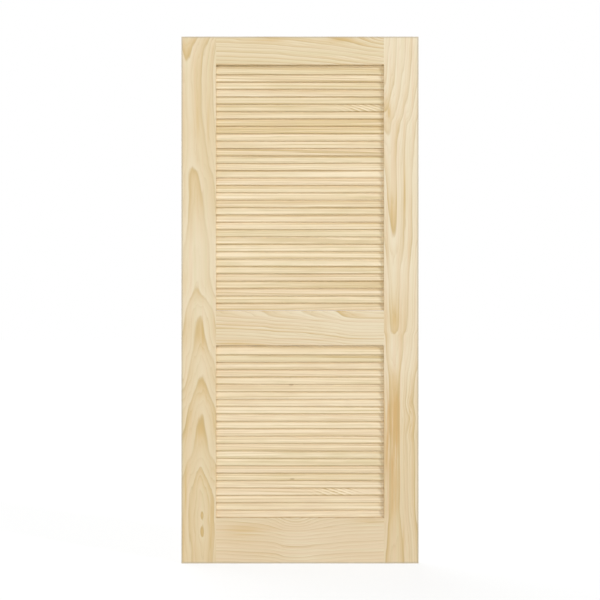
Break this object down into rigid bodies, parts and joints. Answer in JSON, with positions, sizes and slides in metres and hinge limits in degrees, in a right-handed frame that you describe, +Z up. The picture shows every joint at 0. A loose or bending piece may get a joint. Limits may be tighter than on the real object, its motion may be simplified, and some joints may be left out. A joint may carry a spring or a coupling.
{
  "type": "louvred door",
  "caption": "Full-height louvred interior door slab of bare pine: two stiles, three rails and fixed overlapping slats housed in slanted mortises.",
  "frame": {"origin": "on the hinge edge (the left stile's outer edge), at the foot of the door and midway through its thickness", "axes": "+X from the hinge edge to the lock edge, -Y out of the front face, where the slats slope down, +Z up"},
  "size_m": [0.9144, 0.035, 2.032],
  "materials": {
    "stile_pine": "bare planed pine",
    "rail_pine": "bare planed pine",
    "slat_pine": "bare planed pine"
  },
  "bodies": {
    "root": {"left_stile": "stile_pine", "right_stile": "stile_pine", "top_rail": "rail_pine", "lock_rail": "rail_pine", "bottom_rail": "rail_pine", "upper_slats_01_02": "slat_pine", "upper_slats_03_04": "slat_pine", "upper_slats_05_06": "slat_pine", "upper_slats_07_08": "slat_pine", "upper_slats_09_10": "slat_pine", "upper_slats_11_12": "slat_pine", "upper_slats_13_14": "slat_pine", "upper_slats_15_16": "slat_pine", "upper_slats_17_18": "slat_pine", "upper_slats_19_20": "slat_pine", "upper_slats_21_22": "slat_pine", "upper_slats_23_24": "slat_pine", "upper_slats_25_26": "slat_pine", "upper_slats_27_28": "slat_pine", "upper_slats_29_30": "slat_pine", "upper_slats_31_32": "slat_pine", "upper_slats_33": "slat_pine", "lower_slats_01_02": "slat_pine", "lower_slats_03_04": "slat_pine", "lower_slats_05_06": "slat_pine", "lower_slats_07_08": "slat_pine", "lower_slats_09_10": "slat_pine", "lower_slats_11_12": "slat_pine", "lower_slats_13_14": "slat_pine", "lower_slats_15_16": "slat_pine", "lower_slats_17_18": "slat_pine", "lower_slats_19_20": "slat_pine", "lower_slats_21_22": "slat_pine", "lower_slats_23": "slat_pine"}
  },
  "joints": []
}
